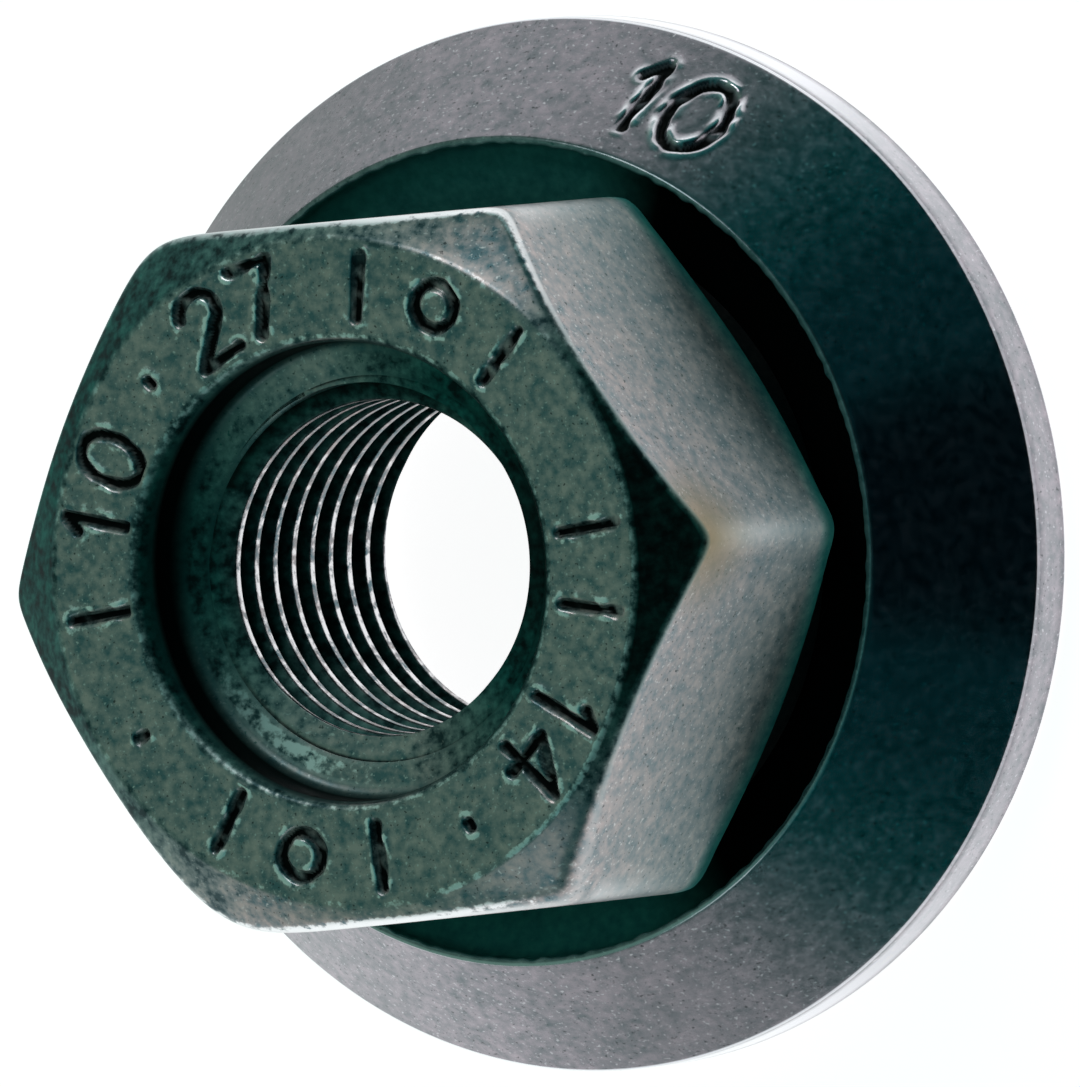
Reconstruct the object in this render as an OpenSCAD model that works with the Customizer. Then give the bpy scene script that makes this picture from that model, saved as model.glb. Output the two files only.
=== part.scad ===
// Two-piece wheel nut: an open-ended hexagon nut with a captive washer that turns freely on it.
// The axis is Z. The washer's bearing face lies at z = 0 and the nut's end face points up.
// Sections are written as [radius, height] and turned round the axis.

/* [Hexagon] */
// Width across the flats
hex_width = 27; // [24:0.5:30]
// Height of the hexagon, from its underside to the end face
hex_height = 12.5; // [8:0.25:20]
// Radial depth that is turned off each sharp corner
corner_trim = 0.2; // [0.1:0.05:0.8]
// Step in from the flats to the edge of the end face
face_inset = 0.65; // [0.2:0.05:1.5]
// Slope of the chamfer round the end face, from the face
face_chamfer_angle = 35; // [20:1:45]
// Step in from the flats to the edge of the underside
underside_inset = 0.25; // [0.1:0.05:0.5]
// Slope of the chamfer round the underside, from the underside
underside_chamfer_angle = 18; // [10:1:40]

/* [Bore] */
// Major diameter of the stud's thread, to which the bore is drawn
thread_d = 14.3; // [12:0.1:16]
// Height of the chamfer that leads into each end of the thread
thread_lead = 0.2; // [0.1:0.05:0.5]
// Diameter of the counterbore in the end face
counterbore_d = 17.6; // [17.2:0.1:22]
// Depth of the counterbore at its wall
counterbore_depth = 2.3; // [1:0.1:4]
// Width of the broken edge at the counterbore's mouth
mouth_break = 0.25; // [0.1:0.05:0.4]
// Fall of the counterbore's floor towards the thread
floor_angle = 12; // [0:1:20]
// Diameter of the plain bore inside the skirt
skirt_bore_d = 18.1; // [17.2:0.1:19]
// Height of the thread's lower end above the bearing face
thread_start = 5.8; // [4.5:0.1:7.5]

/* [Neck and skirt] */
// Step in from the flats to the round neck under the hexagon
neck_inset = 0.6; // [0.3:0.05:1.2]
// Height of the hexagon's underside above the washer's lip
hex_lift = 0.35; // [0.2:0.05:4]
// Wall of the skirt that passes through the washer
skirt_wall = 1.2; // [0.8:0.05:1.4]
// Height at which the skirt starts to flare out
flare_start = 2.3; // [1.6:0.05:2.5]
// Slope of the flare, from the axis
flare_angle = 32; // [20:1:40]
// Gap between the skirt's end and the bearing face
end_gap = 0.5; // [0.3:0.05:0.8]

/* [Washer] */
// Outside diameter
washer_d = 40.7; // [40:0.1:50]
// Height from the bearing face to the lip
washer_height = 7.3; // [6.5:0.05:9]
// Height of the cylindrical rim
rim_height = 2.2; // [1:0.05:3.5]
// Depth of the recess wall inside the lip
recess_depth = 0.8; // [0.5:0.05:1.2]
// Slope of the conical seat inside the recess wall, from the bearing face
seat_angle = 20; // [10:1:25]
// Radius of the lip's rounded crest
lip_radius = 0.2; // [0.15:0.05:0.45]
// Radius of the rounding at both edges of the rim
rim_radius = 0.15; // [0.1:0.05:0.45]

/* [Clearances] */
// Axial gap between the two conical seats
seat_gap = 0.1; // [0.05:0.01:0.2]
// Radial gap between the skirt and the washer's bore
bore_gap = 0.35; // [0.2:0.05:0.5]
// Step out from the neck to the wall of the washer's recess
recess_margin = 2.8; // [2:0.05:3.2]

/* [Hidden] */
$fn = 96;
arc_steps = 6;
// Cutters reach this far past the face that they open
overcut = 1;

// Hexagon
hex_r = hex_width / 2;
corner_r = hex_r / cos(30) - corner_trim;
face_r = hex_r - face_inset;
underside_r = hex_r - underside_inset;
face_chamfer_h = (corner_r - face_r) * tan(face_chamfer_angle);
underside_chamfer_h = (corner_r - underside_r) * tan(underside_chamfer_angle);

// Heights of the nut, from the bearing face up
hex_z = washer_height + hex_lift;
face_z = hex_z + hex_height;
counterbore_z = face_z - counterbore_depth;

// Bore
thread_r = thread_d / 2;
thread_mouth_r = thread_r + thread_lead;
counterbore_r = counterbore_d / 2;
skirt_bore_r = skirt_bore_d / 2;
thread_top_z = counterbore_z - (counterbore_r - thread_mouth_r) * tan(floor_angle);

// Neck, seat and skirt, with the washer's matching faces
neck_r = hex_r - neck_inset;
// The neck runs up inside the hexagon, so that the two are one solid
neck_top_z = hex_z + underside_chamfer_h;
skirt_r = skirt_bore_r + skirt_wall;
recess_r = neck_r + recess_margin;
seat_z = washer_height - recess_depth;
flare_r = skirt_r + (flare_start - end_gap) * tan(flare_angle);
flare_bore_r = flare_r - skirt_wall / cos(flare_angle);
flare_bore_start = end_gap + (flare_bore_r - skirt_bore_r) / tan(flare_angle);

// Washer
washer_r = washer_d / 2;
washer_bore_r = skirt_r + bore_gap;
countersink_z = flare_start + bore_gap;
countersink_r = washer_bore_r + countersink_z * tan(flare_angle);
lip_centre = [recess_r + lip_radius, washer_height - lip_radius];
upper_edge_centre = [washer_r - rim_radius, rim_height - rim_radius];
lower_edge_centre = [washer_r - rim_radius, rim_radius];
// The cone is the common tangent of the lip's crest and the rim's upper edge
cone_run = upper_edge_centre - lip_centre;
cone_normal_angle = atan2(cone_run[1], cone_run[0]) + 90
    - asin((lip_radius - rim_radius) / norm(cone_run));

// Height of the washer's conical seat at a radius
function seat_height(r) = seat_z - (recess_r - r) * tan(seat_angle);

// Points of an arc in a section, from one direction to another
function arc(centre, radius, from, to) =
    [for (i = [0 : arc_steps])
        let (a = from + (to - from) * i / arc_steps)
        centre + radius * [cos(a), sin(a)]];

// Chamfered blank that the hexagon is cut from
module chamfered_blank() {
    rotate_extrude()
        polygon([
            [0, hex_z],
            [underside_r, hex_z],
            [corner_r, hex_z + underside_chamfer_h],
            [corner_r, face_z - face_chamfer_h],
            [face_r, face_z],
            [0, face_z]
        ]);
}

// Round neck, conical seat and flared skirt below the hexagon
module neck_and_skirt() {
    rotate_extrude()
        polygon([
            [0, end_gap],
            [flare_r, end_gap],
            [skirt_r, flare_start],
            [skirt_r, seat_height(skirt_r) + seat_gap],
            [neck_r, seat_height(neck_r) + seat_gap],
            [neck_r, neck_top_z],
            [0, neck_top_z]
        ]);
}

// Way of the stud: flared mouth, plain bore, thread and counterbore
module stud_bore() {
    rotate_extrude()
        polygon([
            [0, end_gap - overcut],
            [flare_bore_r + overcut * tan(flare_angle), end_gap - overcut],
            [skirt_bore_r, flare_bore_start],
            [skirt_bore_r, thread_start],
            [thread_mouth_r, thread_start],
            [thread_r, thread_start + thread_lead],
            [thread_r, thread_top_z - thread_lead],
            [thread_mouth_r, thread_top_z],
            [counterbore_r, counterbore_z],
            [counterbore_r, face_z - mouth_break],
            [counterbore_r + mouth_break + overcut, face_z + overcut],
            [0, face_z + overcut]
        ]);
}

module hex_nut() {
    color("#56605d")
        difference() {
            union() {
                intersection() {
                    translate([0, 0, hex_z])
                        cylinder(r = hex_r / cos(30), h = hex_height, $fn = 6);
                    chamfered_blank();
                }
                neck_and_skirt();
            }
            stud_bore();
        }
}

module captive_washer() {
    color("#4a5255")
        rotate_extrude()
            polygon(concat(
                [
                    [countersink_r, 0],
                    [washer_bore_r, countersink_z],
                    [washer_bore_r, seat_height(washer_bore_r)],
                    [recess_r, seat_z]
                ],
                arc(lip_centre, lip_radius, 180, cone_normal_angle),
                arc(upper_edge_centre, rim_radius, cone_normal_angle, 0),
                arc(lower_edge_centre, rim_radius, 0, -90)
            ));
}

hex_nut();
captive_washer();
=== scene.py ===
import math
from collections import namedtuple

import bpy
import numpy as np
from mathutils import Matrix, Vector


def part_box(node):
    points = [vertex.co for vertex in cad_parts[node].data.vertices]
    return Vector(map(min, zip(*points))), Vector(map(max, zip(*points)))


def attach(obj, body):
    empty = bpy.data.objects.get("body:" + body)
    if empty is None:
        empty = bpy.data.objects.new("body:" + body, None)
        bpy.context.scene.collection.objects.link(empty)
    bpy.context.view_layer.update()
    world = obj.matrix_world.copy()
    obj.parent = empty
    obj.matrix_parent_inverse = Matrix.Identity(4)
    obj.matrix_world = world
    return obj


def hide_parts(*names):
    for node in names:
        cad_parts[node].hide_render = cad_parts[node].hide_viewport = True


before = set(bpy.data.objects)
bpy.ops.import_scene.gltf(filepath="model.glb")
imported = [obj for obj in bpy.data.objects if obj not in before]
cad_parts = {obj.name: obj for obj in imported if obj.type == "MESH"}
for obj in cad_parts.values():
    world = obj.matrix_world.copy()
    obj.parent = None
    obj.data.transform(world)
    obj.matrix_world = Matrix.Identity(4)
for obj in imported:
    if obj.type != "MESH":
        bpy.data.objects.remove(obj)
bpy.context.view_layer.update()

# Looks of a two-piece wheel nut: a forged hexagon nut and the washer that turns freely on it.
# Sizes are in millimetres, as on the drawing, and become metres when a mesh is made.
MM = 0.001
nut_low, nut_high = (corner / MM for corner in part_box("hex_nut"))
washer_low, washer_high = (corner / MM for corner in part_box("captive_washer"))


def slope(degrees):
    """Rise over run of an angle in degrees."""
    return math.tan(math.radians(degrees))


# Hexagon
HEX_HALF = nut_high.y
CORNER_CUT = HEX_HALF / math.cos(math.radians(30)) - nut_high.x
FACE_Z = nut_high.z
HEX_Z = FACE_Z - 12.5
FACE_R = HEX_HALF - 0.65
UNDERSIDE_R = HEX_HALF - 0.25
FACE_CHAMFER = slope(35)
UNDERSIDE_CHAMFER = slope(18)
# Height over the hexagon's underside at which sockets no longer rub its flats
SHELTER = 1.6
# Half width of the bright band that sockets rub along each corner, and height and number of the waves in the
# forging's unevenness
CORNER_RUB = 0.6
FORGED = 0.012
FORGED_WAVES = 10
# The forged flats, from the one at 30 degrees on: their directions, how far each stands off the nominal
# distance, and how much more than the nominal depth the corner before each is rounded off
FLAT_DIRECTIONS = np.radians([30, 89.4, 150, 210, 270.5, 330])
FLAT_OFFSETS = np.array([-0.22, -0.11, 0.44, 0.2, 0.09, -0.12])
CORNER_WEAR = np.array([0, 0, 0.35, 0, 0.65, 0])

# Bore
WALL_R = 7.15
LEAD = 0.2
COUNTERBORE_R = 8.8
COUNTERBORE_Z = FACE_Z - 2.3
MOUTH_BREAK = 0.25
FLOOR_SLOPE = slope(12)
THREAD_Z = 5.8
SKIRT_BORE_R = 9.05
PITCH = 25.4 / 18
THREAD_DEPTH = 0.7

# Neck and flared skirt
NECK_R = HEX_HALF - 0.6
SKIRT_WALL = 1.2
SKIRT_R = SKIRT_BORE_R + SKIRT_WALL
END_Z = nut_low.z
FLARE_Z = 2.3
FLARE_ANGLE = 32
FLARE_R = SKIRT_R + (FLARE_Z - END_Z) * slope(FLARE_ANGLE)
FLARE_BORE_R = FLARE_R - SKIRT_WALL / math.cos(math.radians(FLARE_ANGLE))
FLARE_BORE_Z = END_Z + (FLARE_BORE_R - SKIRT_BORE_R) / slope(FLARE_ANGLE)

# Washer
RIM_R = washer_high.x
LIP_Z = washer_high.z
LIP_WIDTH = 0.25
RECESS_R = NECK_R + 2.8
SEAT_Z = LIP_Z - 0.8
SEAT_GAP = 0.1
BORE_GAP = 0.35
RIM_Z = 2.1
# The loose washer leans: its bearing face and its lip stand this far off the nut's axis
BEARING_SHIFT = np.array([0.08, 0.16, 0])
LIP_SHIFT = np.array([0, 0.15, 0])
CONE_TILT = math.atan2(LIP_Z - RIM_Z, RIM_R - RECESS_R - LIP_WIDTH)
WASHER_BORE_R = SKIRT_R + BORE_GAP
COUNTERSINK_Z = FLARE_Z + BORE_GAP
COUNTERSINK_R = WASHER_BORE_R + COUNTERSINK_Z * slope(FLARE_ANGLE)


def seat_height(radius):
    """Height of the washer's 20 degree seat at a radius."""
    return SEAT_Z - (RECESS_R - radius) * slope(20)


def floor_height(radius):
    """Height of the counterbore's floor at a radius."""
    return COUNTERBORE_Z - (COUNTERBORE_R - radius) * FLOOR_SLOPE


THREAD_TOP_Z = floor_height(WALL_R + LEAD)


# Camera: a long lens, 30 degrees off the nut's axis, with the axis lying across the picture
VIEW_OFF_AXIS = math.radians(30.13)
VIEW_ROLL = math.radians(5.67)
PICTURE_HEIGHT = 41.55
# The picture's middle lies this far right of and above the middle of the nut's end face
MIDDLE_RIGHT = 7.55
MIDDLE_UP = 1.09
LENS = 1500
SENSOR = 36


def add_camera():
    """Stands the camera off along the line of sight and rolls it, so that the axis runs from right to
    left."""
    back = Vector((math.sin(VIEW_OFF_AXIS), 0, math.cos(VIEW_OFF_AXIS)))
    level = Vector((math.cos(VIEW_OFF_AXIS), 0, -math.sin(VIEW_OFF_AXIS)))
    right = level * math.cos(VIEW_ROLL) - Vector((0, 1, 0)) * math.sin(VIEW_ROLL)
    up = back.cross(right)
    middle = Vector((0, 0, FACE_Z)) + right * MIDDLE_RIGHT + up * MIDDLE_UP
    distance = LENS * PICTURE_HEIGHT / SENSOR
    data = bpy.data.cameras.new("camera")
    data.lens = LENS
    data.sensor_width = SENSOR
    data.clip_start = 0.01
    data.clip_end = 20
    camera = bpy.data.objects.new("camera", data)
    turn = Matrix((right, up, back)).transposed().to_4x4()
    camera.matrix_world = Matrix.Translation((middle + back * distance) * MM) @ turn
    bpy.context.scene.collection.objects.link(camera)
    bpy.context.scene.camera = camera


# Sections carried round the axis. A station is a ring of corner points, how far its rounding reaches along
# both sides, the rows in that rounding and on the straight side after it, how far the rounding and the side
# are rubbed bright, which in places is a painted highlight, how thick the teal coat lies at the side's start
# and end, which in places is painted shade, and how much near black lies there, which is oily dirt in places
# and painted shade in hollows and on shadowed sides. The last three may change round the axis.
Station = namedtuple(
    "Station", "points ease ease_rows rows worn coat grime", defaults=[(0, 0), (0, 0), (0, 0)])
NUT_COLUMNS = 720
# Rows of points down the rubbed part of the flats
FLAT_ROWS = 7


def ring(radius, height, angles):
    """Points round the axis: the radius times each angle's cosine and sine, at the height."""
    return np.stack(np.broadcast_arrays(radius * np.cos(angles), radius * np.sin(angles), height), axis=-1)


def hexagon_reach(angles):
    """Reach of a hexagon with rounded corners and a corner at angle 0. A flat's own reach is its distance
    over the cosine of the angle from its direction. The inverse reaches of all flats are raised to a power,
    added up, and the root is taken back: a soft minimum, which the power sharpens. At a corner two flats
    meet, and the power that trims it by a wanted share follows from the share's logarithm."""
    nearest = np.round(angles / (np.pi / 3)).astype(int) % 6
    share = (CORNER_CUT + CORNER_WEAR[nearest]) * math.cos(math.pi / 6) / HEX_HALF
    power = -math.log(2) / np.log(1 - share)
    facing = np.cos(angles - FLAT_DIRECTIONS[:, None]) / (HEX_HALF + FLAT_OFFSETS[:, None])
    return (np.clip(facing, 0, None) ** power).sum(axis=0) ** (-1 / power)


def carry_section(stations):
    """Closed section with rounded corners, carried round the axis. A rounding is the parabola that leaves
    one side and meets the next: a point on each side and the corner between them, weighted by (1-t)(1-t), t
    t and 2t(1-t). The teal layer and the near black, both partly painted shade, go over from one side to the
    next in it.
    Returns the grid of points, its values of wear and highlight, of layer and shade and of dirt and shade,
    and the rows of each straight side."""
    corners = np.stack([station.points for station in stations])
    before = np.roll(corners, 1, axis=0) - corners
    after = np.roll(corners, -1, axis=0) - corners
    before_length = np.linalg.norm(before, axis=-1, keepdims=True)
    after_length = np.linalg.norm(after, axis=-1, keepdims=True)
    ease = np.stack([np.broadcast_to(station.ease, len(station.points)) for station in stations])[..., None]
    reach = np.minimum(ease, 0.45 * np.minimum(before_length, after_length))
    first = corners + before / before_length * reach
    last = corners + after / after_length * reach
    columns = corners.shape[1]
    grid, sides = [], []
    looks = {"worn": [], "coat": [], "grime": []}
    for number, station in enumerate(stations):
        t = np.linspace(0, 1, station.ease_rows)[:, None]
        along = np.linspace(0, 1, station.rows + 2)[1:-1, None]
        weights = [weight[..., None] for weight in ((1 - t) ** 2, 2 * t * (1 - t), t ** 2)]
        rounding = weights[0] * first[number] + weights[1] * corners[number] + weights[2] * last[number]
        side = last[number] + along[..., None] * (first[(number + 1) % len(stations)] - last[number])
        start = sum(len(part) for part in grid) + station.ease_rows
        sides.append(slice(start, start + station.rows))
        grid += [rounding, side]
        edge_wear_and_highlight, side_worn = station.worn
        looks["worn"] += [np.sqrt(4 * t * (1 - t)) * edge_wear_and_highlight * np.ones(columns),
                          np.full((station.rows, columns), side_worn)]
        for label in ("coat", "grime"):
            earlier = np.broadcast_to(getattr(stations[number - 1], label)[1], columns)
            start, end = (np.broadcast_to(value, columns) for value in getattr(station, label))
            looks[label] += [earlier + t * (start - earlier), start + along * (end - start)]
    return np.concatenate(grid), {label: np.concatenate(parts) for label, parts in looks.items()}, sides


def ring_piece(name, grid, attributes):
    """Closed ring of four-sided faces: each grid point is joined to the next along its row and in the next
    row, and both directions run back into their start."""
    rows, columns = grid.shape[:2]
    index = np.arange(rows * columns).reshape(rows, columns)
    onward = np.roll(index, -1, axis=1)
    faces = np.stack([index, np.roll(index, -1, axis=0), np.roll(onward, -1, axis=0), onward], axis=-1)
    return mesh_piece(name, grid.reshape(-1, 3), faces.reshape(-1, 4), attributes)


def mesh_piece(name, points, faces, attributes):
    """Mesh object at the origin from points in millimetres, four-sided faces and one number per point by
    name."""
    mesh = bpy.data.meshes.new(name)
    mesh.vertices.add(len(points))
    mesh.vertices.foreach_set("co", (points * MM).astype(np.float32).ravel())
    mesh.loops.add(faces.size)
    mesh.loops.foreach_set("vertex_index", faces.astype(np.int32).ravel())
    mesh.polygons.add(len(faces))
    mesh.polygons.foreach_set("loop_start", np.arange(0, faces.size, 4, dtype=np.int32))
    mesh.polygons.foreach_set("use_smooth", np.ones(len(faces), dtype=bool))
    for label, values in attributes.items():
        layer = mesh.attributes.new(label, "FLOAT", "POINT")
        layer.data.foreach_set("value", np.asarray(values, dtype=np.float32).ravel())
    mesh.update(calc_edges=True)
    piece = bpy.data.objects.new(name, mesh)
    bpy.context.scene.collection.objects.link(piece)
    return piece


def wobble(angles, size, seed):
    """Slow unevenness round the axis: five waves with seeded sizes and starts."""
    draw = np.random.default_rng(seed)
    waves = np.arange(2, 12, 2)[:, None]
    parts = draw.normal(size=(5, 1)) * np.sin(waves * angles + draw.uniform(0, 2 * np.pi, (5, 1)))
    return size * parts.sum(axis=0) / 2


def ragged(angles, size, seed):
    """Roughness of a broken edge round the axis: twelve short waves with seeded counts and starts."""
    draw = np.random.default_rng(seed)
    parts = np.sin(draw.integers(40, 160, (12, 1)) * angles + draw.uniform(0, 2 * np.pi, (12, 1)))
    return size * parts.sum(axis=0) / 3


# Stamped marks: plain numbers, bars, dots and rings
def arc_stroke(centre, reach, first, last, steps=14):
    """Points of an elliptical arc between two directions in degrees."""
    a = np.radians(np.linspace(first, last, steps))
    return np.stack([centre[0] + reach[0] * np.cos(a), centre[1] + reach[1] * np.sin(a)], axis=-1)


# Strokes of each mark in a frame one unit high, standing on its baseline
MARKS = {
    "bar": np.array([[0, 0.05], [0, 0.95]]),
    "dot": np.array([[0, 0.46], [0, 0.54]]),
    "ring": arc_stroke((0, 0.5), (0.3, 0.3), 0, 360, 24),
    "0": arc_stroke((0, 0.5), (0.3, 0.48), 0, 360, 28),
    "1": np.array([[-0.18, 0.76], [0, 0.98], [0, 0.02]]),
    "2": np.concatenate([arc_stroke((0, 0.7), (0.29, 0.28), 165, -35), [[-0.3, 0.02], [0.32, 0.02]]]),
    "4": np.array([[0.14, 0.02], [0.14, 0.98], [-0.32, 0.32], [0.34, 0.32]]),
    "7": np.array([[-0.3, 0.96], [0.32, 0.96], [-0.06, 0.02]]),
}
STROKE = 0.45
STAMP_DEPTH = 0.28
BURR = 0.06


def stroke_distance(across, upward, stroke):
    """Distance of each point from a stroke: from a segment, it is to the nearest point between its ends."""
    nearest = np.full(across.shape, np.inf)
    for (x0, y0), (x1, y1) in zip(stroke[:-1], stroke[1:]):
        run_x, run_y = x1 - x0, y1 - y0
        share = ((across - x0) * run_x + (upward - y0) * run_y) / (run_x ** 2 + run_y ** 2)
        share = np.clip(share, 0, 1)
        nearest = np.minimum(nearest, np.hypot(across - x0 - share * run_x, upward - y0 - share * run_y))
    return nearest


def unevenness(points, seed):
    """Roughness of a forged surface: ten plane waves with seeded directions, lengths from 0.5 to 2 mm, and
    starts."""
    draw = np.random.default_rng(seed)
    total = np.zeros(points.shape[:2])
    turns = draw.uniform(0, 2 * np.pi, FORGED_WAVES)
    lengths = draw.uniform(0.5, 2, FORGED_WAVES)
    starts = draw.uniform(0, 6, FORGED_WAVES)
    for turn, length, start in zip(turns, lengths, starts):
        along = points[..., 0] * math.cos(turn) + points[..., 1] * math.sin(turn)
        total += np.sin(2 * np.pi * along / length + start)
    return total / math.sqrt(FORGED_WAVES)


def stamp(relief, across, upward, mark, height, rough):
    """Presses a mark into a relief: a rounded trough along its strokes and the low burr that the punch
    threw up. Both are uneven, because the punch struck a rough forging."""
    distance = stroke_distance(across / height, upward / height, MARKS[mark]) * height + 0.06 * rough
    inside = np.clip(1 - distance / (0.65 * STROKE), 0, 1)
    trough = np.minimum(1.5 * inside * inside * (3 - 2 * inside), 1)
    burr = np.exp(-((distance - 0.9 * STROKE) / (0.3 * STROKE)) ** 2)
    raised = BURR * burr * np.clip(0.5 + 0.5 * rough, 0, 1)
    sunk = STAMP_DEPTH * trough * np.clip(0.85 + 0.3 * rough, 0.4, 1)
    pressed = raised - sunk
    return np.where(np.abs(pressed) > np.abs(relief), pressed, relief)


# Marks round the end face: mark, direction in degrees, height
FACE_MARKS = [
    ("1", 165, 2.9), ("0", 152, 2.9),
    ("dot", 134, 2.9),
    ("2", 117, 2.9), ("7", 104, 2.9),
    ("bar", 80, 2.7), ("ring", 62, 2.9), ("bar", 44, 2.7),
    ("bar", 4, 2.7), ("bar", -12, 2.7),
    ("1", -34, 2.9), ("4", -46, 2.9),
    ("dot", -66, 2.9),
    ("bar", -88, 2.7), ("ring", -106, 2.9), ("bar", -124, 2.7),
    ("dot", -150, 2.9), ("bar", 184, 2.7),
]
FACE_MARK_R = 9.6


def face_relief(points):
    """Relief of the marks round the end face. Each mark's frame is turned to its direction and stands on a
    circle."""
    relief = np.zeros(points.shape[:2])
    rough = unevenness(points, 11)
    for mark, direction, height in FACE_MARKS:
        a = math.radians(direction)
        outward = points[..., 0] * math.cos(a) + points[..., 1] * math.sin(a)
        across = points[..., 0] * math.sin(a) - points[..., 1] * math.cos(a)
        relief = stamp(relief, across, outward - FACE_MARK_R, mark, height, rough)
    return relief


# Marks on the washer's cone: mark, direction in degrees, height
CONE_MARKS = [("1", 69, 3.7), ("0", 61.5, 3.7)]
CONE_MARK_FOOT = 1.5


def cone_relief(points, angles):
    """Relief of the marks on the cone, laid out down the slope from a foot below the lip, and round the
    axis."""
    radius = np.hypot(points[..., 0], points[..., 1])
    down = (radius - RECESS_R - LIP_WIDTH) / math.cos(CONE_TILT)
    relief = np.zeros(radius.shape)
    rough = unevenness(points, 12)
    for mark, direction, height in CONE_MARKS:
        across = np.angle(np.exp(1j * (math.radians(direction) - angles))) * radius
        relief = stamp(relief, across, down - CONE_MARK_FOOT, mark, height, rough)
    return relief


def add_relief(looks, rows, relief):
    """Rubs the burrs bright and blackens the troughs, partly oily dirt and partly painted shade."""
    looks["worn"][rows] = np.maximum(looks["worn"][rows], np.clip(relief / BURR, 0, 1))
    looks["grime"][rows] = np.maximum(looks["grime"][rows], np.clip(-2.4 * relief / STAMP_DEPTH - 0.6, 0, 1))


def thicker(angles, direction, thickness, spread=1):
    """An amount round the axis that is largest in one direction: a cosine raised to a power, and nothing
    behind it."""
    return thickness * np.clip(np.cos(angles - math.radians(direction)), 0, 1) ** spread


def counterbore_coat_and_shade(angles):
    """Teal layer on the counterbore's floor, heavy on the left and the right: painted shade there."""
    return np.minimum(thicker(angles, 175, 0.95, 3) + thicker(angles, 10, 1.6), 1)


def counterbore_shade(angles):
    """Near black on the counterbore's floor, on the left and most of all on the right: painted shade."""
    return thicker(angles, 175, 0.7, 4) + thicker(angles, 5, 0.95, 0.7)


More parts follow.
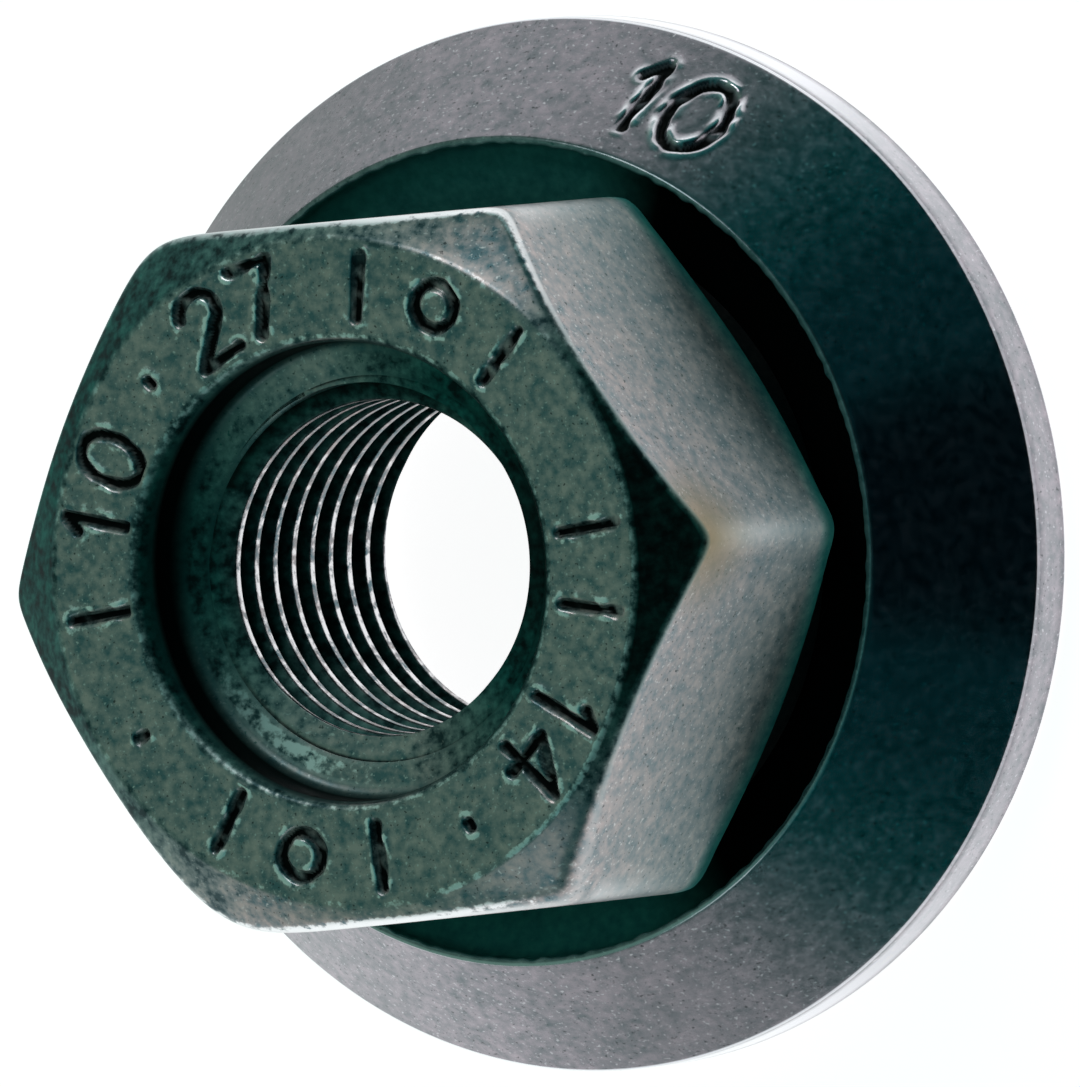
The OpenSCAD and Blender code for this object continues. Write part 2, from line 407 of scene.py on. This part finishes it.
def make_nut():
    """The nut: its section runs from the counterbore's mouth over the end face, down the hexagon, round the
    neck and the flared skirt, and back up the bore. The hexagon's rows follow its rounded outline, and its
    chamfers fall with the distance from the axis."""
    a = np.linspace(0, 2 * np.pi, NUT_COLUMNS, endpoint=False)
    reach = hexagon_reach(a)
    face_r = FACE_R + wobble(a, 0.05, 3)
    top_z = FACE_Z - (reach - face_r) * FACE_CHAMFER + wobble(a, 0.06, 5)
    bottom_z = HEX_Z + (reach - UNDERSIDE_R) * UNDERSIDE_CHAMFER + wobble(a, 0.04, 7)
    # Painted shade: the chamfer is made dark with teal coat and near black on the right side, and on the left
    # towards 155 degrees.
    painted_shade_right = np.clip(4 * np.cos(a) - 2.7, 0, 1)
    chamfer_coat_and_shade = thicker(a, 155, 0.95) + painted_shade_right
    chamfer_shade = thicker(a, 155, 0.7) + 0.95 * painted_shade_right
    chamfer_looks = ((chamfer_coat_and_shade, chamfer_coat_and_shade), (chamfer_shade, chamfer_shade))
    face_edge_worn = 0.3 + thicker(a, -35, 0.5, 4)
    # Painted highlight: the hexagon's edges are rubbed brighter towards 90 and 270 degrees, at the top and
    # bottom of the camera's view.
    edge_wear_and_highlight = 0.3 + 0.8 * np.sin(a) ** 4 - thicker(a, -57, 0.5, 24)
    off_corner = (a + np.pi / 6) % (np.pi / 3) - np.pi / 6
    ridge_worn = np.linspace(0.45, 0.1, FLAT_ROWS)[:, None] * np.exp(-(off_corner * reach / CORNER_RUB) ** 2)
    # Painted shade on the counterbore's floor: teal coat and near black on its left and right sides.
    floor_coat_and_shade = counterbore_coat_and_shade(a)
    floor_shade = counterbore_shade(a)
    floor_worn = thicker(a, -128, 0.78, 6)
    mouth_width = MOUTH_BREAK + thicker(a, 180, 0.2, 2)
    mouth_depth = MOUTH_BREAK + thicker(a, 180, 0.55, 2)
    # Painted shade at the counterbore's mouth: teal coat and near black on the left and the right.
    mouth_coat_and_shade = thicker(a, 180, 1) + thicker(a, 0, 1)
    mouth_shade = thicker(a, 180, 0.75) + thicker(a, 0, 0.95)
    edge_ease = 0.28 + 0.2 * np.sin(a) ** 4 + thicker(a, -57, 0.7, 24)
    stations = [
        Station(ring(COUNTERBORE_R + mouth_width, FACE_Z, a), 0.3, 5, 40, (0.55, 0)),
        Station(ring(face_r, FACE_Z, a), 0.2, 5, 2, (face_edge_worn, 0), *chamfer_looks),
        Station(ring(reach, top_z, a), edge_ease, 6, FLAT_ROWS, (edge_wear_and_highlight, ridge_worn), (0, 0.27)),
        # Down the flats the teal coat grows towards the underside: partly coat that sockets don't rub off,
        # partly painted shade on the flats' lower part.
        Station(ring(reach, bottom_z + SHELTER, a), 0.1, 2, 2, (0, 0), (0.27, 0.95)),
        Station(ring(reach, bottom_z, a), 0.7, 6, 1, (0, 0), (1, 1)),
        # Painted shade: near black under the hexagon and round the neck.
        Station(ring(UNDERSIDE_R, HEX_Z, a), 0.15, 3, 0, grime=(0.7, 0.7)),
        Station(ring(NECK_R, HEX_Z, a), 0.1, 3, 0, grime=(0.8, 0.8)),
        Station(ring(NECK_R, seat_height(NECK_R) + SEAT_GAP, a), 0.1, 3, 0, grime=(0.5, 0.5)),
        Station(ring(SKIRT_R, seat_height(SKIRT_R) + SEAT_GAP, a), 0.2, 3, 0, grime=(0.4, 0.4)),
        Station(ring(SKIRT_R, FLARE_Z, a), 0.6, 4, 0),
        Station(ring(FLARE_R, END_Z, a), 0.3, 4, 0, (0.5, 0)),
        Station(ring(FLARE_BORE_R, END_Z, a), 0.3, 4, 0, (0.5, 0)),
        Station(ring(SKIRT_BORE_R, FLARE_BORE_Z, a), 0.6, 4, 1, (0, 0), (0.1, 0.4)),
        Station(ring(SKIRT_BORE_R, THREAD_Z, a), 0.15, 3, 1, (0, 0), (0.4, 0.4)),
        # Painted shade: teal coat and near black in the bore by the thread, on the counterbore's floor and on
        # its wall.
        Station(ring(WALL_R + LEAD, THREAD_Z, a), 0.08, 3, 0, grime=(0.6, 0.6)),
        Station(ring(WALL_R, THREAD_Z + LEAD, a), 0.08, 3, 2, (0, 0), (1, 1), (0.85, 0.85)),
        Station(ring(WALL_R, THREAD_TOP_Z - LEAD, a), 0.1, 3, 0, (0, 0), (floor_coat_and_shade, floor_coat_and_shade),
                (floor_shade, floor_shade)),
        Station(ring(WALL_R + LEAD, THREAD_TOP_Z, a), 0.1, 3, 4, (0, floor_worn), (floor_coat_and_shade, floor_coat_and_shade),
                (floor_shade, floor_shade)),
        Station(ring(COUNTERBORE_R, COUNTERBORE_Z, a), 0.4, 6, 2, (0, 0), (0.6, 0.6), (0.97, 1)),
        Station(ring(COUNTERBORE_R, FACE_Z - mouth_depth, a), 0.15, 3, 0, (0, 0), (mouth_coat_and_shade, mouth_coat_and_shade),
                (mouth_shade, mouth_shade)),
    ]
    grid, looks, sides = carry_section(stations)
    face = sides[0]
    relief = face_relief(grid[face])
    grid[face, :, 2] += relief + FORGED * unevenness(grid[face], 21)
    looks["scale"] = np.zeros(grid.shape[:2])
    looks["scale"][:sides[2].start - 3] = 1
    looks["scale"][sides[-3].start:sides[-3].stop] = 1
    add_relief(looks, face, relief)
    piece = ring_piece("forged_hexagon_nut", grid, looks)
    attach(piece, "nut")
    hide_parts("hex_nut")
    return piece


def washer_angles():
    """Angles round the washer, close together where the marks are and wider elsewhere."""
    marked = np.radians([55, 76])
    fine = np.linspace(marked[0], marked[1], 150, endpoint=False)
    coarse = np.linspace(marked[1], marked[0] + 2 * np.pi, 610, endpoint=False)
    return np.concatenate([fine, coarse])


def make_washer():
    """The washer: its section runs from the lip down the cone, round the rim, across the bearing face, up the
    countersink and the bore, up the conical seat, and up the recess wall to the lip."""
    a = washer_angles()
    lip_r = RECESS_R + ragged(a, 0.03, 17)
    # Painted shade makes the cone darker towards 140 degrees; it is also darker in narrow bands towards 75
    # and -80 degrees.
    cone_darkening = thicker(a, 140, 0.44, 3) + thicker(a, 75, 0.1, 20) + thicker(a, -80, 0.2, 16)
    # Painted highlight: the lip is rubbed bright towards -90 degrees, at the bottom of the camera's view.
    lip_painted_highlight = thicker(a, -90, 0.6)
    # Painted shade: the lip's teal coat is heavier towards 25 degrees, on the right.
    lip_coat_and_shade = 0.15 + thicker(a, 25, 0.35)
    # The rim is rubbed bright a little all round and near the marks; towards 90 and 270 degrees, at the top
    # and bottom of the camera's view, the extra brightness is a painted highlight.
    rim_wear_and_highlight = np.minimum(0.16 + 0.95 * np.sin(a) ** 4 + thicker(a, 68, 0.4, 16), 1)
    # Painted shade in the recess: near black on its right side and a little towards 85 degrees, and heavy
    # teal coat all round.
    seat_shade = np.maximum(np.clip(4 * np.cos(a) - 1, 0, 1), thicker(a, 85, 0.2))
    seat_looks = ((0.9, 0.9), (seat_shade, seat_shade))
    stations = [
        Station(ring(lip_r, LIP_Z, a), 0.11, 5, 0, (lip_painted_highlight, lip_painted_highlight), (lip_coat_and_shade, lip_coat_and_shade)),
        Station(ring(RECESS_R + LIP_WIDTH, LIP_Z, a), 0.11, 5, 56, (lip_painted_highlight, 0),
                grime=(cone_darkening, cone_darkening)),
        Station(ring(RIM_R, RIM_Z, a), 0.12, 6, 3, (rim_wear_and_highlight, rim_wear_and_highlight)),
        Station(ring(RIM_R, 0, a), 0.18, 6, 8, (0.4, 0)),
        Station(ring(COUNTERSINK_R, 0, a), 0.15, 4, 2, (0.3, 0), (0.1, 0.3)),
        Station(ring(WASHER_BORE_R, COUNTERSINK_Z, a), 0.2, 4, 1, (0, 0), (0.4, 0.4)),
        Station(ring(WASHER_BORE_R, seat_height(WASHER_BORE_R), a), 0.2, 4, 6, (0, 0), *seat_looks),
        Station(ring(RECESS_R, SEAT_Z, a), 0.3, 5, 1, (0, 0), *seat_looks),
    ]
    grid, looks, sides = carry_section(stations)
    cone = sides[1]
    relief = cone_relief(grid[cone], a)
    grid[cone] += ring(relief * math.sin(CONE_TILT), relief * math.cos(CONE_TILT), a)
    height = grid[..., 2:] / LIP_Z
    grid += BEARING_SHIFT * (1 - height) + LIP_SHIFT * height
    looks["scale"] = np.zeros(grid.shape[:2])
    add_relief(looks, cone, relief)
    piece = ring_piece("conical_thrust_washer", grid, looks)
    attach(piece, "washer")
    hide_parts("captive_washer")
    return piece


# Profile of the thread's ridge: place along the axis, and height as a share of the thread's depth
RIDGE = np.array([[-0.58, -0.6], [-0.58, 0], [-0.25, 0.87], [-0.2, 0.97], [-0.13, 1],
                  [0.13, 1], [0.2, 0.97], [0.25, 0.87], [0.58, 0], [0.58, -0.6]])
FLANK = 0.87 * THREAD_DEPTH / (0.58 - 0.25)
CREST_R = WALL_R - THREAD_DEPTH
FOOT_R = WALL_R + 0.45
TURN_STEPS = 180
# Waves in each turn by which the wear of the crest comes and goes
CREST_WAVES = (23, 41)
# Height at which the ridge crosses the X axis
CROSSING_Z = THREAD_Z + 0.65
# Depth under a face at which the ridge's cut ends lie
SINK = 0.004


def make_thread():
    """The thread: its ridge's profile is carried up a right-handed helix on the bore's wall, one pitch a
    turn. The counterbore's floor cuts it off at the top: no point lies above the floor, and none further in
    than where the flank below meets the floor. The flat lower end cuts it in the same way. Its foot and its
    ends lie inside the wall, and strips across the profile close the ends."""
    along, rise = RIDGE[:, 0], RIDGE[:, 1]
    low = THREAD_Z - along[-1] - 0.3
    high = floor_height(WALL_R) + along[-1] + 0.3
    middle = np.linspace(low, high, int((high - low) / PITCH * TURN_STEPS))[:, None]
    angles = 2 * np.pi * (middle - CROSSING_Z) / PITCH
    under_floor = floor_height(WALL_R) - middle - along[0]
    top_cut = WALL_R - FLANK * under_floor / (1 + FLANK * FLOOR_SLOPE)
    low_cut = WALL_R - FLANK * (middle + along[-1] - THREAD_Z)
    cut = np.clip(np.maximum(top_cut, low_cut), CREST_R, FOOT_R)
    radius = np.maximum(WALL_R - THREAD_DEPTH * rise, cut)
    ceiling = floor_height(radius) - SINK
    on_floor = (middle + along > ceiling).astype(float)
    height = np.clip(middle + along, THREAD_Z + SINK, ceiling)
    points = ring(radius, height, angles)
    steps, sides = points.shape[:2]
    index = np.arange(steps * sides).reshape(steps, sides)
    onward = np.roll(index, -1, axis=1)
    skin = np.stack([index[:-1], onward[:-1], onward[1:], index[1:]], axis=-1).reshape(-1, 4)
    i = np.arange(sides // 2 - 1)
    cap = np.stack([i, i + 1, sides - 2 - i, sides - 1 - i], axis=-1)
    faces = np.concatenate([skin, index[0][cap[:, ::-1]], index[-1][cap]])
    crest = np.clip(rise, 0, 1)
    inside = 1 - on_floor
    thin = thicker(angles, -85, 0.5, 2)
    uneven = 0.68 + 0.35 * np.sin(CREST_WAVES[0] * angles) * np.sin(CREST_WAVES[1] * angles)
    rubbed = uneven * (1 - thicker(angles, 100, 0.8, 2) - thin)
    # Painted shade: the thread's roots are teal coat and near black, a little less of it towards -85 degrees.
    looks = {"worn": inside * crest ** 10 * rubbed,
             "coat": on_floor * counterbore_coat_and_shade(angles) + inside * (1 - crest ** 8),
             "grime": on_floor * counterbore_shade(angles) + inside * (0.95 - thin) * (1 - crest ** 8),
             "scale": np.ones(points.shape[:2])}
    piece = mesh_piece("cut_thread", points.reshape(-1, 3), faces, looks)
    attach(piece, "nut")
    return piece


# Materials
def linear(hex_colour):
    """Linear colour with alpha from an sRGB hex value."""
    parts = [int(hex_colour[i:i + 2], 16) / 255 for i in (1, 3, 5)]
    return tuple(c / 12.92 if c <= 0.04045 else ((c + 0.055) / 1.055) ** 2.4 for c in parts) + (1.0,)


def add(tree, kind, links=(), sockets=(), **settings):
    """Adds a node with its settings, its unlinked sockets' values and its links."""
    node = tree.nodes.new(kind)
    for label, value in settings.items():
        setattr(node, label, value)
    for socket, value in sockets:
        node.inputs[socket].default_value = value
    for socket, source in links:
        tree.links.new(source, node.inputs[socket])
    return node


# Sizes in the coat, in millimetres: mottling of the crystals, single crystal clusters, and patches of
# forging scale
MOTTLE = 0.45
CRYSTAL = 0.16
PATCH = 1.8
STAIN_REACH = 4.2
# The coat's teal stands in for the teal tint of shade, so it is partly painted shade. The near black is
# painted shade in hollows and on shadowed sides, and oily dirt in places.
COAT_THIN_SHADE_TEAL = "#1f7a7c"
COAT_THICK_SHADE_TEAL = "#3fa89f"
GRIME_AND_SHADE_BLACK = "#050909"
PIT = "#323b3d"
STAIN = "#84734f"


def phosphated_steel(name, dark, light, fleck, bare, roughness, stain=None):
    """Forged steel with a phosphate layer and a wipe of oil. The crystals make it matt and finely speckled,
    forging scale leaves soft patches that are strongest where nothing was machined, and edges that were
    handled are rubbed to brighter metal, which in places is a painted highlight. Where nothing rubs, the
    layer stays heavy, dull and dark green, a teal that is partly painted shade; near black paints shade in
    hollows and on shadowed sides, besides oily dirt. A stain is a place where old oil has dried brown."""
    material = bpy.data.materials.new(name)
    material.use_nodes = True
    tree = material.node_tree
    tree.nodes.clear()
    place = add(tree, "ShaderNodeTexCoord").outputs["Object"]
    mottle = add(tree, "ShaderNodeTexNoise", [("Vector", place)],
                 [("Scale", 1 / (MOTTLE * MM)), ("Detail", 3.0), ("Roughness", 0.6)]).outputs["Fac"]
    crystals = add(tree, "ShaderNodeTexNoise", [("Vector", place)],
                   [("Scale", 1 / (CRYSTAL * MM)), ("Detail", 1.0), ("Roughness", 0.5)]).outputs["Fac"]
    patches = add(tree, "ShaderNodeTexNoise", [("Vector", place)],
                  [("Scale", 1 / (PATCH * MM)), ("Detail", 3.0), ("Roughness", 0.6)]).outputs["Fac"]
    worn, coat_and_shade_amount, grime, scale = (
        add(tree, "ShaderNodeAttribute", attribute_name=label).outputs["Fac"]
        for label in ("worn", "coat", "grime", "scale"))
    clouds = add(tree, "ShaderNodeMath", [(0, patches)], [(1, 0.4), (2, -0.5)],
                 operation="MULTIPLY_ADD").outputs[0]
    blend = add(tree, "ShaderNodeMath", [(0, mottle), (2, clouds)], [(1, 0.6)],
                operation="MULTIPLY_ADD").outputs[0]
    contrast = add(tree, "ShaderNodeMath", [(0, scale)], [(1, 1.4), (2, 2.2)],
                   operation="MULTIPLY_ADD").outputs[0]
    tone = add(tree, "ShaderNodeMath", [(0, blend), (1, contrast)], [(2, 0.5)],
               operation="MULTIPLY_ADD", use_clamp=True).outputs[0]
    ground = add(tree, "ShaderNodeMix", [(0, tone)], [(6, linear(dark)), (7, linear(light))],
                 data_type="RGBA").outputs[2]
    hollows = add(tree, "ShaderNodeMapRange", [("Value", crystals)],
                  [("From Min", 0.34), ("From Max", 0.24), ("To Max", 0.8)]).outputs["Result"]
    pitted = add(tree, "ShaderNodeMix", [(0, hollows), (6, ground)], [(7, linear(PIT))],
                 data_type="RGBA").outputs[2]
    sparkle = add(tree, "ShaderNodeMapRange", [("Value", crystals)],
                  [("From Min", 0.64), ("From Max", 0.76), ("To Max", 0.8)]).outputs["Result"]
    colour = add(tree, "ShaderNodeMix", [(0, sparkle), (6, pitted)], [(7, linear(fleck))],
                 data_type="RGBA").outputs[2]
    hold = add(tree, "ShaderNodeMapRange", [("Value", mottle)],
               [("From Min", 0.68), ("From Max", 0.28)]).outputs["Result"]
    loss = add(tree, "ShaderNodeMath", [(0, worn), (1, hold)], operation="SUBTRACT").outputs[0]
    chips = add(tree, "ShaderNodeMapRange", [("Value", loss)], [("From Max", 0.35)]).outputs["Result"]
    rubbed = add(tree, "ShaderNodeMix", [(0, scale), (2, worn), (3, chips)]).outputs[0]
    edged = add(tree, "ShaderNodeMix", [(0, rubbed), (6, colour)], [(7, linear(bare))],
                data_type="RGBA").outputs[2]
    if stain:
        away = add(tree, "ShaderNodeVectorMath", [(0, place)], [(1, Vector(stain) * MM)],
                   operation="DISTANCE")
        dried = add(tree, "ShaderNodeMapRange", [("Value", away.outputs["Value"])],
                    [("From Min", STAIN_REACH * MM), ("From Max", 0.0), ("To Max", 0.8)],
                    interpolation_type="SMOOTHSTEP").outputs["Result"]
        edged = add(tree, "ShaderNodeMix", [(0, dried), (6, edged)], [(7, linear(STAIN))],
                    data_type="RGBA").outputs[2]
    # Teal coat colour, partly painted shade.
    coat = add(tree, "ShaderNodeMix", [(0, tone)], [(6, linear(COAT_THIN_SHADE_TEAL)), (7, linear(COAT_THICK_SHADE_TEAL))],
               data_type="RGBA").outputs[2]
    coated = add(tree, "ShaderNodeMix", [(0, coat_and_shade_amount), (6, edged), (7, coat)], data_type="RGBA").outputs[2]
    swing = add(tree, "ShaderNodeMath", [(0, scale)], [(1, 6.0)], operation="MULTIPLY").outputs[0]
    thinning = add(tree, "ShaderNodeMath", [(0, blend), (1, swing)], [(2, 1.0)],
                   operation="MULTIPLY_ADD").outputs[0]
    kept = add(tree, "ShaderNodeMath", [(0, thinning)], [(1, 0.25)], operation="MAXIMUM").outputs[0]
    patchy = add(tree, "ShaderNodeMath", [(0, grime), (1, kept)], operation="POWER").outputs[0]
    # Near black: painted shade and oily dirt.
    shaded_and_grimy = add(tree, "ShaderNodeMix", [(0, patchy), (6, coated)], [(7, linear(GRIME_AND_SHADE_BLACK))],
                data_type="RGBA").outputs[2]
    cover = add(tree, "ShaderNodeMath", [(0, coat_and_shade_amount), (1, grime)], operation="MAXIMUM").outputs[0]
    metal = add(tree, "ShaderNodeMapRange", [("Value", cover)],
                [("To Min", 1.0), ("To Max", 0.0)]).outputs["Result"]
    matt = add(tree, "ShaderNodeMapRange", [("Value", mottle)],
               [("From Min", 0.3), ("From Max", 0.7),
                ("To Min", roughness - 0.03), ("To Max", roughness + 0.04)])
    duller = add(tree, "ShaderNodeMath", [(0, cover), (2, matt.outputs["Result"])], [(1, 0.3)],
                 operation="MULTIPLY_ADD").outputs[0]
    grain = add(tree, "ShaderNodeBump", [("Height", mottle)], [("Strength", 0.08), ("Distance", 0.05 * MM)])
    shader = add(tree, "ShaderNodeBsdfPrincipled",
                 [("Base Color", shaded_and_grimy), ("Metallic", metal), ("Roughness", duller),
                  ("Normal", grain.outputs[0])],
                 [("Specular IOR Level", 0.06)])
    add(tree, "ShaderNodeOutputMaterial", [("Surface", shader.outputs[0])])
    return material


FLOOR_SIZE = 3.0
FLOOR_GLOW = 0.93


def add_floor():
    """White floor under the bearing face. To the camera and in the metal it glows nearly white, and the
    rest of its light falls on it and keeps the shadow. From below it can be looked through."""
    points = np.array([[-1, -1, 0], [1, -1, 0], [1, 1, 0], [-1, 1, 0]]) * FLOOR_SIZE / 2 / MM
    floor = mesh_piece("floor", points, np.array([[0, 1, 2, 3]]), {})
    material = bpy.data.materials.new("white_floor")
    material.use_nodes = True
    tree = material.node_tree
    tree.nodes.clear()
    path = add(tree, "ShaderNodeLightPath").outputs
    seen = add(tree, "ShaderNodeMath", [(0, path["Is Camera Ray"]), (1, path["Is Glossy Ray"])],
               operation="ADD")
    shown = add(tree, "ShaderNodeMath", [(0, seen.outputs[0]), (1, path["Is Transmission Ray"])],
                operation="ADD", use_clamp=True)
    glow = add(tree, "ShaderNodeMath", [(0, shown.outputs[0])], [(1, FLOOR_GLOW)], operation="MULTIPLY")
    light = add(tree, "ShaderNodeEmission", [("Strength", glow.outputs[0])], [("Color", (1, 1, 1, 1))])
    matt = add(tree, "ShaderNodeBsdfDiffuse", sockets=[("Color", linear("#cccccc"))])
    white = add(tree, "ShaderNodeAddShader", [(0, light.outputs[0]), (1, matt.outputs[0])])
    clear = add(tree, "ShaderNodeBsdfTransparent")
    behind = add(tree, "ShaderNodeNewGeometry").outputs["Backfacing"]
    sided = add(tree, "ShaderNodeMixShader", [(0, behind), (1, white.outputs[0]), (2, clear.outputs[0])])
    add(tree, "ShaderNodeOutputMaterial", [("Surface", sided.outputs[0])])
    floor.data.materials.append(material)


# Colours of the room's walls from the nut's right side round to its left, of the glow low on the left, and
# of the ceiling on the right
WALLS = [(0.0, (0, 0.006, 0.009, 1)), (0.03, (0.001, 0.04, 0.045, 1)), (0.16, (0.001, 0.05, 0.054, 1)),
         (0.36, (0.002, 0.105, 0.1, 1)), (0.6, (0.05, 0.18, 0.17, 1)), (1.0, (0.17, 0.31, 0.25, 1))]
GLOW = (0.55, 0.6, 0.6, 1)
CEILING = (0, 0.01, 0.013, 1)


def add_room():
    """Dim studio room, white at the horizon. Its walls are dark on the right, most of all under the
    ceiling, and lit on the left, where a pale glow stands over the horizon."""
    world = bpy.data.worlds.new("room")
    bpy.context.scene.world = world
    world.use_nodes = True
    tree = world.node_tree
    tree.nodes.clear()
    direction = add(tree, "ShaderNodeTexCoord").outputs["Generated"]
    parts = add(tree, "ShaderNodeSeparateXYZ", [(0, direction)]).outputs
    leftward = add(tree, "ShaderNodeMapRange", [("Value", parts["X"])],
                   [("From Min", 0.88), ("From Max", -0.5)])
    walls = add(tree, "ShaderNodeValToRGB", [(0, leftward.outputs["Result"])])
    for place, colour in WALLS[1:-1]:
        walls.color_ramp.elements.new(place)
    for element, (place, colour) in zip(walls.color_ramp.elements, WALLS):
        element.position = place
        element.color = colour
    left = add(tree, "ShaderNodeMapRange", [("Value", parts["X"])], [("From Min", 0.35), ("From Max", -0.15)],
               interpolation_type="SMOOTHSTEP")
    low = add(tree, "ShaderNodeMapRange", [("Value", parts["Z"])], [("From Min", 0.2), ("From Max", -0.02)],
              interpolation_type="SMOOTHSTEP")
    share = add(tree, "ShaderNodeMath", [(0, left.outputs["Result"]), (1, low.outputs["Result"])],
                operation="MULTIPLY")
    lit = add(tree, "ShaderNodeMix", [(0, share.outputs[0]), (6, walls.outputs[0])], [(7, GLOW)],
              data_type="RGBA")
    right = add(tree, "ShaderNodeMapRange", [("Value", parts["X"])], [("From Min", 0.25), ("From Max", 0.6)],
                interpolation_type="SMOOTHSTEP")
    high = add(tree, "ShaderNodeMapRange", [("Value", parts["Z"])], [("From Min", 0.4), ("From Max", 0.7)],
               interpolation_type="SMOOTHSTEP")
    unlit = add(tree, "ShaderNodeMath", [(0, right.outputs["Result"]), (1, high.outputs["Result"])],
                operation="MULTIPLY")
    dim = add(tree, "ShaderNodeMix", [(0, unlit.outputs[0]), (6, lit.outputs[2])], [(7, CEILING)],
              data_type="RGBA")
    climb = add(tree, "ShaderNodeMapRange", [("Value", parts["Z"])], [("From Min", 0.0), ("From Max", 0.04)],
                interpolation_type="SMOOTHSTEP")
    colour = add(tree, "ShaderNodeMix", [(0, climb.outputs["Result"]), (7, dim.outputs[2])],
                 [(6, (1, 1, 1, 1))], data_type="RGBA")
    glow = add(tree, "ShaderNodeBackground", [("Color", colour.outputs[2])], [("Strength", 1.0)])
    add(tree, "ShaderNodeOutputWorld", [("Surface", glow.outputs[0])])


def add_softbox(name, place, size, brightness):
    """Square lamp that faces the nut. Its power is its brightness times its area and pi."""
    data = bpy.data.lights.new(name, "AREA")
    data.shape = "SQUARE"
    data.size = size
    data.energy = brightness * math.pi * size ** 2
    lamp = bpy.data.objects.new(name, data)
    lamp.location = place
    lamp.rotation_euler = (-Vector(place)).to_track_quat("-Z", "Y").to_euler()
    bpy.context.scene.collection.objects.link(lamp)


add_camera()
nut = make_nut()
thread = make_thread()
washer = make_washer()
nut_steel = phosphated_steel(
    "phosphated_nut_forging", "#617a82", "#c1b1b0", "#d8d5d6", "#f6f5f8", 0.3,
    stain=(HEX_HALF / math.cos(math.radians(30)) - 0.4, 0, FACE_Z - 2.2))
nut.data.materials.append(nut_steel)
thread.data.materials.append(nut_steel)
washer.data.materials.append(phosphated_steel(
    "phosphated_washer_forging", "#687176", "#aea3ac", "#c9c7cd", "#faf8ff", 0.17))
add_floor()
add_room()
add_softbox("upper_softbox", (-0.1, 0.7, 0.7), 0.3, 3.2)
add_softbox("lower_softbox", (0, -0.8, 0.5), 0.3, 0.6)
bpy.context.scene.view_settings.view_transform = "Standard"
